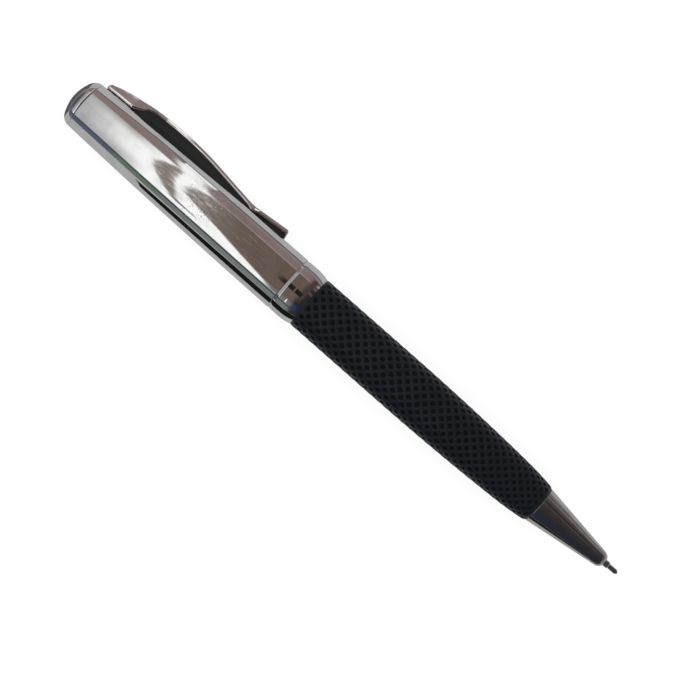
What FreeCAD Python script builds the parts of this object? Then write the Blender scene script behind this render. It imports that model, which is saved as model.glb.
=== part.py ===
import FreeCAD, Part
import math
import os
from types import SimpleNamespace

from Sketcher import Constraint

Vector = FreeCAD.Vector

# A twist-action mechanical pencil that lies on a table. Every piece is drawn about its own X axis,
# with X = 0 at the crown of the dome and +X towards the writing tip, and is then placed by its
# Placement: the origin of the model is on the table, under the middle of its bounding box.
# All sizes are in millimetres and all angles in degrees.

DIMENSIONS = {
    # whole pencil
    "overall_length": 137.0,
    "lead_showing": 0.35,
    "clip_reach": 8.865,
    "clip_roll": 27.0,
    "press_gap": 0.01,
    "running_gap": 0.05,
    "taper_gap": 0.035,
    # upper barrel and dome
    "dome_end": 3.12,
    "dome_crown_radius": 10.0,
    "dome_shoulder_x": 0.95,
    "dome_shoulder_y": 3.75,
    "dome_shoulder_radius": 2.0,
    "dome_rim": 5.02,
    "dome_spigot_end": 5.4,
    "barrel_start": 3.16,
    "barrel_end": 54.05,
    "barrel_tail_radius": 5.05,
    "barrel_wide_radius": 5.85,
    "barrel_swell": 1708.0,
    "barrel_tail_bore": 4.50,
    "barrel_bore": 4.70,
    "barrel_step": 12.0,
    "window_start": 5.70,
    "window_end": 8.35,
    "window_width": 2.60,
    # pocket clip, heights measured from the axis; a sweep is the radius of a long arc
    "clip_width": 4.0,
    "clip_gauge": 0.88,
    "clip_start": 3.45,
    "clip_foot_end": 9.50,
    "clip_tail": 47.55,
    "clip_leg_width": 2.40,
    "clip_leg_start": 5.80,
    "clip_leg_end": 8.00,
    "clip_hook_end": 9.20,
    "clip_hook_top": 3.85,
    "clip_hook_bottom": 3.40,
    "clip_bump_x": 39.4,
    "clip_bump_height": 5.81,
    "brow_x": 10.6,
    "brow_height": 8.24,
    "crest_x": 20.6,
    "crest_height": 8.93,
    "fall_x": 29.4,
    "fall_height": 8.28,
    "waist_x": 38.0,
    "waist_height": 7.04,
    "rise_x": 40.7,
    "rise_height": 7.07,
    "tail_height": 7.80,
    "tail_corner": 0.55,
    "head_floor": 5.12,
    "head_foot": 5.30,
    "head_wall_top": 5.95,
    "head_corner": 0.25,
    "head_corner_top": 6.32,
    "head_corner_radius": 0.90,
    "head_sweep": 24.0,
    "brow_sweep": 72.0,
    "crest_sweep": 60.0,
    "waist_sweep": 10.0,
    "bump_half_length": 0.35,
    "heel_x": 11.0,
    "heel_height": 6.18,
    "instep_x": 11.9,
    "instep_height": 7.15,
    "arch_x": 13.5,
    "arch_height": 7.80,
    "arch_radius": 2.2,
    "leg_root": 5.60,
    # centre ring and the coupler that carries it
    "ring_start": 54.10,
    "ring_end": 59.40,
    "ring_radius": 5.83,
    "ring_front_radius": 5.40,
    "ring_chamfer": 0.22,
    "ring_straight": 2.1,
    "ring_sweep": 9.0,
    "coupler_start": 50.0,
    "coupler_shoulder": 58.0,
    "coupler_end": 64.0,
    "spigot_radius": 4.60,
    "seal_x": 51.9,
    "seal_ring_radius": 4.40,
    "seal_wire_radius": 0.27,
    # grip
    "grip_radius": 5.50,
    "grip_taper_start": 82.0,
    "grip_neck_x": 110.0,
    "grip_neck_radius": 4.80,
    "grip_lip_x": 116.75,
    "grip_lip_radius": 4.17,
    "grip_end": 117.45,
    "grip_end_radius": 3.80,
    "grip_edge": 0.12,
    "grip_sweep": 560.0,
    "grip_neck_sweep": 79.0,
    "grip_lip_round": 0.75,
    "liner_start": 58.0,
    "liner_seat": 98.5,
    "liner_step": 100.0,
    "liner_bore_step": 116.0,
    "liner_shoulder": 117.5,
    "liner_end": 121.0,
    "liner_rear_outer": 4.40,
    "liner_rear_bore": 3.60,
    "liner_front_outer": 3.40,
    "liner_front_bore": 2.70,
    "liner_thread_outer": 2.75,
    "liner_thread_bore": 2.20,
    # writing cone, sleeve and lead retainer
    "cone_base_radius": 3.85,
    "cone_nose_x": 132.9,
    "cone_nose_radius": 1.68,
    "cone_end": 134.2,
    "cone_end_radius": 0.78,
    "cone_nose_round": 1.6,
    "cone_housing_end": 124.5,
    "retainer_start": 126.2,
    "retainer_end": 129.2,
    "retainer_radius": 1.10,
    "sleeve_collar_radius": 0.70,
    "sleeve_collar_end": 135.0,
    "sleeve_radius": 0.50,
    "sleeve_bore": 0.37,
    "sleeve_step": 0.3,
    "sleeve_edge": 0.07,
    # chuck housing, clutch and spring
    "housing_flange_start": 96.0,
    "housing_flange_radius": 3.50,
    "housing_tube_radius": 2.65,
    "housing_nose_x": 115.7,
    "housing_nose_radius": 2.15,
    "housing_end": 124.0,
    "spring_pocket_radius": 2.20,
    "spring_seat_x": 110.0,
    "spring_seat_end": 111.0,
    "clutch_bore": 1.75,
    "clutch_stop_x": 120.25,
    "clutch_stop_bore": 1.58,
    "clutch_ring_start": 117.6,
    "clutch_ring_end": 119.4,
    "spring_mean_radius": 1.88,
    "spring_wire_radius": 0.15,
    "spring_coils": 6.5,
    # carriage: lead tube, follower, chuck and leads
    "tube_start": 25.0,
    "tube_end": 112.0,
    "tube_bore": 1.15,
    "tube_outer": 1.50,
    "collar_start": 102.5,
    "collar_end": 103.5,
    "collar_radius": 2.10,
    "follower_start": 38.0,
    "follower_end": 40.2,
    "follower_radius": 2.05,
    "pin_x": 39.1,
    "pin_radius": 0.42,
    "pin_tip": 3.20,
    "chuck_stub_start": 108.5,
    "chuck_stem_radius": 1.20,
    "chuck_head_start": 117.0,
    "chuck_head_radius": 1.50,
    "chuck_head_x": 120.5,
    "chuck_end": 121.0,
    "chuck_bore": 0.36,
    "slit_width": 0.20,
    "slit_start": 112.8,
    "chuck_nose_bevel": 0.25,
    "lead_radius": 0.345,
    "working_lead_start": 92.0,
    "spare_lead_start": 44.0,
    "spare_lead_length": 60.0,
    "spare_lead_offset": 0.76,
    # twist mechanism
    "mechanism_start": 27.5,
    "mechanism_bore": 2.10,
    "mechanism_outer": 2.60,
    "circlip_start": 28.7,
    "circlip_end": 29.4,
    "circlip_groove_radius": 2.40,
    "circlip_radius": 3.20,
    "circlip_opening": 3.0,
    "driver_start": 29.5,
    "driver_end": 49.4,
    "driver_bore": 2.65,
    "driver_outer": 3.25,
    "rib_width": 0.80,
    "rib_radius": 3.65,
    "rib_start": 31.0,
    "rib_end": 37.0,
    "helix_pitch": 9.6,
    "helix_slot_width": 1.15,
    "helix_lead_in": 12.0,
    "twist_range": 60.0,
    "feed_travel": 1.6,
    "washer_start": 49.5,
    "washer_end": 49.95,
    "washer_radius": 3.50,
    "bushing_start": 31.0,
    "bushing_end": 48.0,
    # eraser
    "eraser_start": 16.5,
    "eraser_radius": 2.55,
    "eraser_round": 0.4,
    "ferrule_start": 19.5,
    "ferrule_floor": 24.0,
    "ferrule_wall": 0.30,
    "ferrule_stub_end": 31.5,
}


class Size:
    """A number together with the sheet expression that gives it."""

    def __init__(self, value, text):
        self.value = value
        self.text = text

    def join(self, other, sign, value):
        return Size(value, f"({self.text} {sign} {other.text})")

    def __add__(self, other):
        other = size(other)
        return self.join(other, "+", self.value + other.value)

    def __sub__(self, other):
        other = size(other)
        return self.join(other, "-", self.value - other.value)

    def __mul__(self, other):
        other = size(other)
        return self.join(other, "*", self.value * other.value)

    def __truediv__(self, other):
        other = size(other)
        return self.join(other, "/", self.value / other.value)

    def __neg__(self):
        return size(0) - self


def size(item):
    if isinstance(item, Size):
        return item
    return Size(float(item), repr(float(item)))


doc = FreeCAD.newDocument("mechanical_pencil")
sheet = doc.addObject("Spreadsheet::Sheet", "dims")
for row, (alias, number) in enumerate(DIMENSIONS.items(), start=1):
    sheet.set(f"A{row}", str(number))
    sheet.setAlias(f"A{row}", alias)
doc.recompute()
D = SimpleNamespace(**{alias: Size(number, f"dims.{alias}") for alias, number in DIMENSIONS.items()})


# ---------------------------------------------------------------- drawing helpers

pieces = []


def bind(item, name, wanted):
    item.setExpression(name, size(wanted).text)


def place(item, roll=0):
    """Put a finished piece on the pencil's axis, turned by roll degrees about it."""
    item.Placement = FreeCAD.Placement(Vector(0, 0, 0), FreeCAD.Rotation(Vector(1, 0, 0), 0))
    bind(item, "Placement.Base.x", -(D.overall_length + D.lead_showing) / 2)
    bind(item, "Placement.Base.y", -(D.clip_reach - D.barrel_wide_radius) / 2)
    bind(item, "Placement.Base.z", D.barrel_wide_radius)
    item.Placement.Rotation.Axis = Vector(1, 0, 0)
    bind(item, "Placement.Rotation.Angle", roll)
    pieces.append(item)
    return item


def new_body(label):
    body = doc.addObject("PartDesign::Body", label)
    body.Label = label
    return body


def new_sketch(body, name, role, offset=None):
    sketch = body.newObject("Sketcher::SketchObject", name)
    plane = next(item for item in body.Origin.OriginFeatures if item.Role == role)
    sketch.AttachmentSupport = [(plane, "")]
    sketch.MapMode = "FlatFace"
    if offset is not None:
        bind(sketch, "AttachmentOffset.Base.z", offset)
    return sketch


def pin_point(sketch, edge, end, x, y):
    """Hold one end of an edge at (x, y) with dimensions bound to the sheet."""
    for kind, axis, wanted in (("DistanceX", -2, size(x)), ("DistanceY", -1, size(y))):
        if abs(wanted.value) < 1e-9:
            sketch.addConstraint(Constraint("PointOnObject", edge, end, axis))
        else:
            row = sketch.addConstraint(Constraint(kind, -1, 1, edge, end, wanted.value))
            bind(sketch, f"Constraints[{row}]", wanted)


def outline(body, name, corners, role="XY_Plane", offset=None):
    """A closed sketch through corners (x, y) or (x, y, radius).

    A radius makes the edge that leaves that corner an arc, which bulges to the left of the way
    that the outline is drawn, or to the right where the radius is negative.
    """
    sketch = new_sketch(body, name, role, offset)
    spots = [Vector(size(corner[0]).value, size(corner[1]).value, 0) for corner in corners]
    ends = []
    for index, corner in enumerate(corners):
        start = spots[index]
        stop = spots[(index + 1) % len(spots)]
        if len(corner) == 2:
            edge = sketch.addGeometry(Part.LineSegment(start, stop), False)
            ends.append((edge, 1, 2))
            continue
        radius = size(corner[2])
        chord = stop - start
        rise = abs(radius.value) - math.sqrt(radius.value**2 - chord.Length**2 / 4)
        left = Vector(-chord.y, chord.x, 0).normalize()
        middle = (start + stop) / 2 + left * math.copysign(rise, radius.value)
        edge = sketch.addGeometry(Part.ArcOfCircle(start, middle, stop), False)
        first = 1 if sketch.getPoint(edge, 1).distanceToPoint(start) < 1e-6 else 2
        ends.append((edge, first, 3 - first))
        row = sketch.addConstraint(Constraint("Radius", edge, abs(radius.value)))
        bind(sketch, f"Constraints[{row}]", radius if radius.value > 0 else -radius)
    for index, (edge, first, last) in enumerate(ends):
        after, after_first, _ = ends[(index + 1) % len(ends)]
        sketch.addConstraint(Constraint("Coincident", edge, last, after, after_first))
        pin_point(sketch, edge, first, corners[index][0], corners[index][1])
    return sketch


def circle(body, name, x, y, radius, role="XY_Plane"):
    """A closed sketch of one circle, with its centre and radius bound to the sheet."""
    sketch = new_sketch(body, name, role)
    centre = Vector(size(x).value, size(y).value, 0)
    edge = sketch.addGeometry(Part.Circle(centre, Vector(0, 0, 1), radius.value), False)
    row = sketch.addConstraint(Constraint("Radius", edge, radius.value))
    bind(sketch, f"Constraints[{row}]", radius)
    pin_point(sketch, edge, 3, x, y)
    return sketch


def revolve(body, name, corners):
    turned = body.newObject("PartDesign::Revolution", name)
    turned.Profile = outline(body, name + "_outline", corners)
    turned.ReferenceAxis = (turned.Profile[0], ["H_Axis"])
    turned.Angle = 360
    doc.recompute()
    return turned


def turned_piece(label, corners, roll=0):
    body = new_body(label)
    revolve(body, label + "_turned", corners)
    return place(body, roll)


def tube(x_start, x_end, inner, outer):
    return [(x_start, inner), (x_start, outer), (x_end, outer), (x_end, inner)]


def rectangle(x_low, x_high, y_low, y_high):
    return [(x_low, y_low), (x_low, y_high), (x_high, y_high), (x_high, y_low)]


def pad(body, name, sketch, length, both_ways=False):
    feature = body.newObject("PartDesign::Pad", name)
    feature.Profile = sketch
    bind(feature, "Length", length)
    feature.Midplane = both_ways
    doc.recompute()
    return feature


def pocket(body, name, sketch, length, both_ways=False):
    before = body.Shape.Volume
    feature = body.newObject("PartDesign::Pocket", name)
    feature.Profile = sketch
    bind(feature, "Length", length)
    feature.Midplane = both_ways
    doc.recompute()
    if body.Shape.Volume >= before - 1e-6:
        raise RuntimeError(f"{name} cuts nothing")
    return feature


def repeat_around(body, name, feature, count):
    pattern = body.newObject("PartDesign::PolarPattern", name)
    pattern.Originals = [feature]
    pattern.Axis = (feature.Profile[0], ["N_Axis"])
    pattern.Angle = 360
    pattern.Occurrences = count
    body.Tip = pattern
    doc.recompute()
    return pattern


def line_y(x, x_one, y_one, x_two, y_two):
    """Height at x of the straight line through two points."""
    return y_one + (y_two - y_one) * ((x - x_one) / (x_two - x_one))


# ---------------------------------------------------------------- upper barrel, dome, clip


def make_upper_barrel():
    body = new_body("upper_barrel")
    revolve(body, "barrel_tube", [
        (D.barrel_start, D.barrel_tail_bore),
        (D.barrel_start, D.barrel_tail_radius, D.barrel_swell),
        (D.barrel_end, D.barrel_wide_radius),
        (D.barrel_end, D.barrel_bore),
        (D.barrel_step, D.barrel_bore),
        (D.barrel_step, D.barrel_tail_bore),
    ])
    # the clip's leg goes in through this window, on the +Y side
    half = D.window_width / 2
    window = outline(body, "window_outline", rectangle(D.window_start, D.window_end, -half, half), "XZ_Plane")
    pocket(body, "clip_window", window, D.barrel_wide_radius)
    place(body, -D.clip_roll)


def make_finial_dome():
    turned_piece("finial_dome", [
        (0, 0, D.dome_crown_radius),
        (D.dome_shoulder_x, D.dome_shoulder_y, D.dome_shoulder_radius),
        (D.dome_end, D.dome_rim),
        (D.dome_end, D.barrel_tail_bore - D.press_gap),
        (D.dome_spigot_end, D.barrel_tail_bore - D.press_gap),
        (D.dome_spigot_end, 0),
    ])


def make_pocket_clip():
    """A strip clip with a solid head, drawn from the side and padded to its width.

    Its outer face climbs from the head to a crest, runs straight down to the waist that presses
    on the barrel and turns up again at the tail. Its under face is the gauge below the outer.
    """
    gauge = D.clip_gauge
    body = new_body("pocket_clip")
    side = outline(body, "clip_side", [
        (D.clip_start, D.head_floor),
        (D.clip_start, D.head_wall_top, D.head_corner_radius),
        (D.clip_start + D.head_corner, D.head_corner_top, D.head_sweep),
        (D.brow_x, D.brow_height, D.brow_sweep),
        (D.crest_x, D.crest_height, D.crest_sweep),
        (D.fall_x, D.fall_height),
        (D.waist_x, D.waist_height, -D.waist_sweep),
        (D.rise_x, D.rise_height),
        (D.clip_tail - D.tail_corner, D.tail_height, D.tail_corner),
        (D.clip_tail, D.tail_height - gauge / 2),
        (D.clip_tail - D.tail_corner / 5, D.tail_height - gauge),
        (D.rise_x, D.rise_height - gauge),
        (D.clip_bump_x + D.bump_half_length, D.clip_bump_height),
        (D.clip_bump_x - D.bump_half_length, D.clip_bump_height),
        (D.waist_x, D.waist_height - gauge),
        (D.fall_x, D.fall_height - gauge, gauge - D.crest_sweep),
        (D.crest_x, D.crest_height - gauge, gauge - D.brow_sweep),
        (D.arch_x, D.arch_height, -D.arch_radius),
        (D.instep_x, D.instep_height),
        (D.heel_x, D.heel_height, D.arch_radius),
        (D.clip_foot_end, D.head_foot),
    ])
    pad(body, "clip_strip", side, D.clip_width, both_ways=True)
    # a leg goes through the barrel's window and hooks forward under its wall
    leg = outline(body, "leg_side", [
        (D.clip_leg_start, D.clip_hook_bottom),
        (D.clip_leg_start, D.leg_root),
        (D.clip_leg_end, D.leg_root),
        (D.clip_leg_end, D.clip_hook_top),
        (D.clip_hook_end, D.clip_hook_top),
        (D.clip_hook_end, D.clip_hook_bottom),
    ])
    pad(body, "clip_leg", leg, D.clip_leg_width, both_ways=True)
    place(body, -D.clip_roll)


make_upper_barrel()
make_finial_dome()
make_pocket_clip()


# ---------------------------------------------------------------- centre ring and grip


def make_centre_ring():
    turned_piece("centre_ring", [
        (D.ring_start, D.spigot_radius + D.press_gap),
        (D.ring_start, D.ring_radius - D.ring_chamfer),
        (D.ring_start + D.ring_chamfer, D.ring_radius),
        (D.ring_start + D.ring_straight, D.ring_radius, D.ring_sweep),
        (D.ring_end, D.ring_front_radius),
        (D.ring_end, D.spigot_radius + D.press_gap),
    ])


def make_barrel_coupler():
    """The bush that the ring is pressed on, with a spigot that the upper barrel turns about."""
    groove = D.seal_wire_radius + 0.05
    floor = D.seal_ring_radius - D.seal_wire_radius - D.press_gap
    turned_piece("barrel_coupler", [
        (D.coupler_start, D.mechanism_outer + D.press_gap),
        (D.coupler_start, D.spigot_radius),
        (D.seal_x - groove, D.spigot_radius),
        (D.seal_x - groove, floor),
        (D.seal_x + groove, floor),
        (D.seal_x + groove, D.spigot_radius),
        (D.coupler_shoulder, D.spigot_radius),
        (D.coupler_shoulder, D.liner_rear_bore - D.press_gap),
        (D.coupler_end, D.liner_rear_bore - D.press_gap),
        (D.coupler_end, D.mechanism_outer + D.press_gap),
    ])


def make_barrel_seal():
    """A rubber O-ring on the spigot, which gives the upper barrel its grip when it is pushed on."""
    body = new_body("barrel_o_ring")
    sketch = circle(body, "o_ring_section", D.seal_x, D.seal_ring_radius, D.seal_wire_radius)
    turned = body.newObject("PartDesign::Revolution", "o_ring_turned")
    turned.Profile = sketch
    turned.ReferenceAxis = (sketch, ["H_Axis"])
    turned.Angle = 360
    place(body)


def make_grip():
    bore = D.liner_rear_outer + D.press_gap
    front_bore = D.liner_front_outer + D.press_gap
    turned_piece("grip_barrel", [
        (D.ring_end, bore),
        (D.ring_end, D.grip_radius - D.grip_edge),
        (D.ring_end + D.grip_edge, D.grip_radius),
        (D.grip_taper_start, D.grip_radius, D.grip_sweep),
        (D.grip_neck_x, D.grip_neck_radius, D.grip_neck_sweep),
        (D.grip_lip_x, D.grip_lip_radius, D.grip_lip_round),
        (D.grip_end, D.grip_end_radius),
        (D.grip_end, front_bore),
        (D.liner_step + D.press_gap, front_bore),
        (D.liner_step + D.press_gap, bore),
    ])


def make_grip_liner():
    turned_piece("grip_liner", [
        (D.liner_start, D.liner_rear_bore),
        (D.liner_start, D.liner_rear_outer),
        (D.liner_step, D.liner_rear_outer),
        (D.liner_step, D.liner_front_outer),
        (D.liner_shoulder, D.liner_front_outer),
        (D.liner_shoulder, D.liner_thread_outer),
        (D.liner_end, D.liner_thread_outer),
        (D.liner_end, D.liner_thread_bore),
        (D.liner_bore_step, D.liner_thread_bore),
        (D.liner_bore_step, D.liner_front_bore),
        (D.liner_seat, D.liner_front_bore),
        (D.liner_seat, D.liner_rear_bore),
    ])


make_centre_ring()
make_barrel_coupler()
make_barrel_seal()
make_grip()
make_grip_liner()


# ---------------------------------------------------------------- writing cone and its fittings


def make_writing_cone():
    thread = D.liner_thread_outer + D.press_gap
    socket = D.housing_nose_radius + D.running_gap
    turned_piece("writing_cone", [
        (D.liner_shoulder, thread),
        (D.liner_shoulder, D.cone_base_radius),
        (D.cone_nose_x, D.cone_nose_radius, D.cone_nose_round),
        (D.cone_end, D.cone_end_radius),
        (D.cone_end, D.sleeve_collar_radius + D.press_gap),
        (D.retainer_end, D.sleeve_collar_radius + D.press_gap),
        (D.retainer_end, D.retainer_radius + D.press_gap),
        (D.cone_housing_end, D.retainer_radius + D.press_gap),
        (D.cone_housing_end, socket),
        (D.liner_end + D.press_gap, socket),
        (D.liner_end + D.press_gap, thread),
    ])


def make_lead_sleeve():
    turned_piece("lead_sleeve", [
        (D.retainer_end, D.sleeve_bore),
        (D.retainer_end, D.sleeve_collar_radius),
        (D.sleeve_collar_end, D.sleeve_collar_radius),
        (D.sleeve_collar_end + D.sleeve_step, D.sleeve_radius),
        (D.overall_length - D.sleeve_edge, D.sleeve_radius),
        (D.overall_length, D.sleeve_radius - D.sleeve_edge),
        (D.overall_length, D.sleeve_bore),
    ])


make_writing_cone()
make_lead_sleeve()
lead_hole = D.lead_radius + D.press_gap
turned_piece("lead_retainer", tube(D.retainer_start, D.retainer_end, lead_hole, D.retainer_radius))


# ---------------------------------------------------------------- chuck housing, clutch, spring


def make_chuck_housing():
    tube_hole = D.tube_outer + D.running_gap
    turned_piece("chuck_housing", [
        (D.housing_flange_start, D.spring_pocket_radius),
        (D.housing_flange_start, D.housing_flange_radius),
        (D.liner_seat - D.press_gap, D.housing_flange_radius),
        (D.liner_seat - D.press_gap, D.housing_tube_radius),
        (D.housing_nose_x, D.housing_tube_radius),
        (D.housing_nose_x, D.housing_nose_radius),
        (D.housing_end, D.housing_nose_radius),
        (D.housing_end, D.clutch_bore),
        (D.spring_seat_end, D.clutch_bore),
        (D.spring_seat_end, tube_hole),
        (D.spring_seat_x, tube_hole),
        (D.spring_seat_x, D.spring_pocket_radius),
    ])


def chuck_cone_radius(x):
    return line_y(x, D.chuck_head_start, D.chuck_stem_radius, D.chuck_head_x, D.chuck_head_radius)


def make_clutch_ring():
    """The ring that closes the jaws, tapered like them, free to slide up to the stop."""
    turned_piece("clutch_ring", [
        (D.clutch_ring_start, chuck_cone_radius(D.clutch_ring_start) + D.taper_gap),
        (D.clutch_ring_start, D.clutch_bore - D.running_gap),
        (D.clutch_ring_end, D.clutch_bore - D.running_gap),
        (D.clutch_ring_end, chuck_cone_radius(D.clutch_ring_end) + D.taper_gap),
    ])


def make_return_spring():
    body = new_body("return_spring")
    start = D.collar_end + D.spring_wire_radius + D.press_gap
    end = D.spring_seat_x - D.spring_wire_radius - D.press_gap
    sketch = circle(body, "wire_section", start, D.spring_mean_radius, D.spring_wire_radius)
    coil = body.newObject("PartDesign::AdditiveHelix", "coil")
    coil.Profile = sketch
    coil.ReferenceAxis = (sketch, ["H_Axis"])
    coil.Mode = 0
    bind(coil, "Height", end - start)
    bind(coil, "Pitch", (end - start) / D.spring_coils)
    place(body)


make_chuck_housing()
turned_piece("clutch_stop",
             tube(D.clutch_stop_x, D.housing_end, D.clutch_stop_bore, D.clutch_bore - D.press_gap))
make_clutch_ring()
make_return_spring()


# ---------------------------------------------------------------- carriage


def make_lead_tube():
    """The magazine that holds the leads, with the collar that the return spring pushes."""
    turned_piece("lead_tube", [
        (D.tube_start, D.tube_bore),
        (D.tube_start, D.tube_outer),
        (D.collar_start, D.tube_outer),
        (D.collar_start, D.collar_radius),
        (D.collar_end, D.collar_radius),
        (D.collar_end, D.tube_outer),
        (D.tube_end, D.tube_outer),
        (D.tube_end, D.tube_bore),
    ])


def make_follower_ring():
    """The ring on the lead tube, bored on both sides for the drive pins."""
    body = new_body("follower_ring")
    revolve(body, "follower_tube", tube(D.follower_start, D.follower_end, D.tube_outer, D.follower_radius))
    sketch = circle(body, "pin_hole", D.pin_x, 0, D.pin_radius, "XZ_Plane")
    pocket(body, "pin_bores", sketch, D.follower_radius * 3, both_ways=True)
    place(body)


def make_drive_pins():
    """Two short pins that stick out of the follower, through the housing, into the driver."""
    pins = []
    for side in (-1, 1):
        pin = doc.addObject("Part::Cylinder", "drive_pin")
        bind(pin, "Radius", D.pin_radius - D.press_gap)
        bind(pin, "Height", D.pin_tip - D.tube_outer - D.press_gap)
        bind(pin, "Placement.Base.x", D.pin_x)
        bind(pin, "Placement.Base.y", (D.tube_outer + D.press_gap) * side)
        pin.Placement.Rotation = FreeCAD.Rotation(Vector(1, 0, 0), -90 * side)
        pins.append(pin)
    group = doc.addObject("Part::Compound", "drive_pins")
    group.Links = pins
    group.Label = "drive_pins"
    doc.recompute()
    place(group)


def make_chuck():
    """Three jaws cut in one brass collet, whose stub is pressed into the lead tube."""
    body = new_body("chuck")
    revolve(body, "chuck_turned", [
        (D.chuck_stub_start, D.chuck_bore),
        (D.chuck_stub_start, D.tube_bore - D.press_gap),
        (D.tube_end, D.tube_bore - D.press_gap),
        (D.tube_end, D.chuck_stem_radius),
        (D.chuck_head_start, D.chuck_stem_radius),
        (D.chuck_head_x, D.chuck_head_radius),
        (D.chuck_end, D.chuck_head_radius - D.chuck_nose_bevel),
        (D.chuck_end, D.chuck_bore),
    ])
    half = D.slit_width / 2
    slit = outline(body, "slit_outline", rectangle(half, D.chuck_head_radius + half, -half, half),
                   "YZ_Plane", D.chuck_end)
    cut = pocket(body, "slit", slit, D.chuck_end - D.slit_start)
    repeat_around(body, "slits", cut, 3)
    place(body)


def make_leads():
    turned_piece("working_lead", [
        (D.working_lead_start, 0),
        (D.working_lead_start, D.lead_radius),
        (D.overall_length + D.lead_showing * 0.4, D.lead_radius),
        (D.overall_length + D.lead_showing, D.lead_radius * 0.5),
        (D.overall_length + D.lead_showing, 0),
    ])
    count = 3
    leads = []
    for index in range(count):
        angle = math.radians(360 / count * index)
        lead = doc.addObject("Part::Cylinder", "spare_lead")
        bind(lead, "Radius", D.lead_radius)
        bind(lead, "Height", D.spare_lead_length)
        bind(lead, "Placement.Base.x", D.spare_lead_start)
        bind(lead, "Placement.Base.y", D.spare_lead_offset * math.cos(angle))
        bind(lead, "Placement.Base.z", D.spare_lead_offset * math.sin(angle))
        lead.Placement.Rotation = FreeCAD.Rotation(Vector(0, 1, 0), 90)
        leads.append(lead)
    group = doc.addObject("Part::Compound", "spare_leads")
    group.Links = leads
    group.Label = "spare_leads"
    doc.recompute()
    place(group)


make_lead_tube()
make_follower_ring()
make_drive_pins()
make_chuck()
make_leads()


# ---------------------------------------------------------------- twist mechanism


def make_mechanism_housing():
    """The fixed tube, with a straight slot on each side that keeps the pins from turning."""
    body = new_body("mechanism_housing")
    revolve(body, "mechanism_tube", [
        (D.mechanism_start, D.mechanism_bore),
        (D.mechanism_start, D.mechanism_outer),
        (D.circlip_start, D.mechanism_outer),
        (D.circlip_start, D.circlip_groove_radius),
        (D.circlip_end, D.circlip_groove_radius),
        (D.circlip_end, D.mechanism_outer),
        (D.coupler_end, D.mechanism_outer),
        (D.coupler_end, D.mechanism_bore),
    ])
    half = D.pin_radius + D.running_gap
    slot = outline(body, "slot_outline",
                   rectangle(D.pin_x - half, D.pin_x + D.feed_travel + half, -half, half), "XZ_Plane")
    pocket(body, "straight_slots", slot, D.mechanism_outer * 3, both_ways=True)
    place(body)


def make_twist_driver():
    """The tube that the upper barrel turns, with two helical slots that push the pins forward."""
    body = new_body("twist_driver")
    revolve(body, "driver_tube", tube(D.driver_start, D.driver_end, D.driver_bore, D.driver_outer))
    half = D.rib_width / 2
    rib = outline(body, "rib_outline", rectangle(D.driver_outer - 0.2, D.rib_radius, -half, half),
                  "YZ_Plane", D.rib_start)
    repeat_around(body, "ribs", pad(body, "rib", rib, D.rib_end - D.rib_start), 4)
    start = D.pin_x - D.helix_slot_width / 2 - D.helix_pitch * D.helix_lead_in / 360
    section = outline(body, "slot_section",
                      rectangle(start, start + D.helix_slot_width, D.driver_bore - 0.3, D.driver_outer + 0.3))
    before = body.Shape.Volume
    slot = body.newObject("PartDesign::SubtractiveHelix", "helical_slot")
    slot.Profile = section
    slot.ReferenceAxis = (section, ["H_Axis"])
    slot.Mode = 0
    slot.LeftHanded = True
    bind(slot, "Pitch", D.helix_pitch)
    bind(slot, "Height", D.helix_pitch * (D.twist_range + D.helix_lead_in * 2) / 360)
    doc.recompute()
    pattern = body.newObject("PartDesign::PolarPattern", "helical_slots")
    pattern.Originals = [slot]
    pattern.Axis = (section, ["H_Axis"])
    pattern.Angle = 360
    pattern.Occurrences = 2
    body.Tip = pattern
    doc.recompute()
    if body.Shape.Volume >= before - 1e-6:
        raise RuntimeError("the helical slots cut nothing")
    place(body, D.helix_lead_in)


def make_barrel_bushing():
    """The splined bush in the upper barrel, which turns the driver and slides off its ribs."""
    body = new_body("barrel_bushing")
    bore = D.driver_outer + D.running_gap
    revolve(body, "bushing_tube", tube(D.bushing_start, D.bushing_end, bore, D.barrel_bore - D.press_gap))
    half = D.rib_width / 2 + D.running_gap
    groove = outline(body, "groove_outline", rectangle(bore - 0.3, D.rib_radius + D.running_gap, -half, half),
                     "YZ_Plane", D.bushing_end)
    cut = pocket(body, "groove", groove, D.bushing_end - D.bushing_start)
    repeat_around(body, "grooves", cut, 4)
    place(body, D.helix_lead_in)


def make_retaining_ring():
    """An open circlip in the housing's groove, behind the driver."""
    body = new_body("retaining_ring")
    inner = D.circlip_groove_radius + D.press_gap
    revolve(body, "circlip_turned", tube(D.circlip_start + D.press_gap, D.circlip_end - D.press_gap,
                                         inner, D.circlip_radius))
    half = D.circlip_opening / 2
    gap = outline(body, "circlip_gap", rectangle(inner - 1, D.circlip_radius + 1, -half, half),
                  "YZ_Plane", D.circlip_end)
    pocket(body, "circlip_opening", gap, D.circlip_end - D.circlip_start)
    place(body)


make_mechanism_housing()
make_twist_driver()
make_barrel_bushing()
make_retaining_ring()
turned_piece("thrust_washer",
             tube(D.washer_start, D.washer_end, D.mechanism_outer + D.press_gap, D.washer_radius))


# ---------------------------------------------------------------- eraser


def make_eraser():
    turned_piece("eraser", [
        (D.eraser_start, 0),
        (D.eraser_start, D.eraser_radius - D.eraser_round, D.eraser_round),
        (D.eraser_start + D.eraser_round, D.eraser_radius),
        (D.ferrule_floor - D.press_gap, D.eraser_radius),
        (D.ferrule_floor - D.press_gap, 0),
    ])


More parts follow.
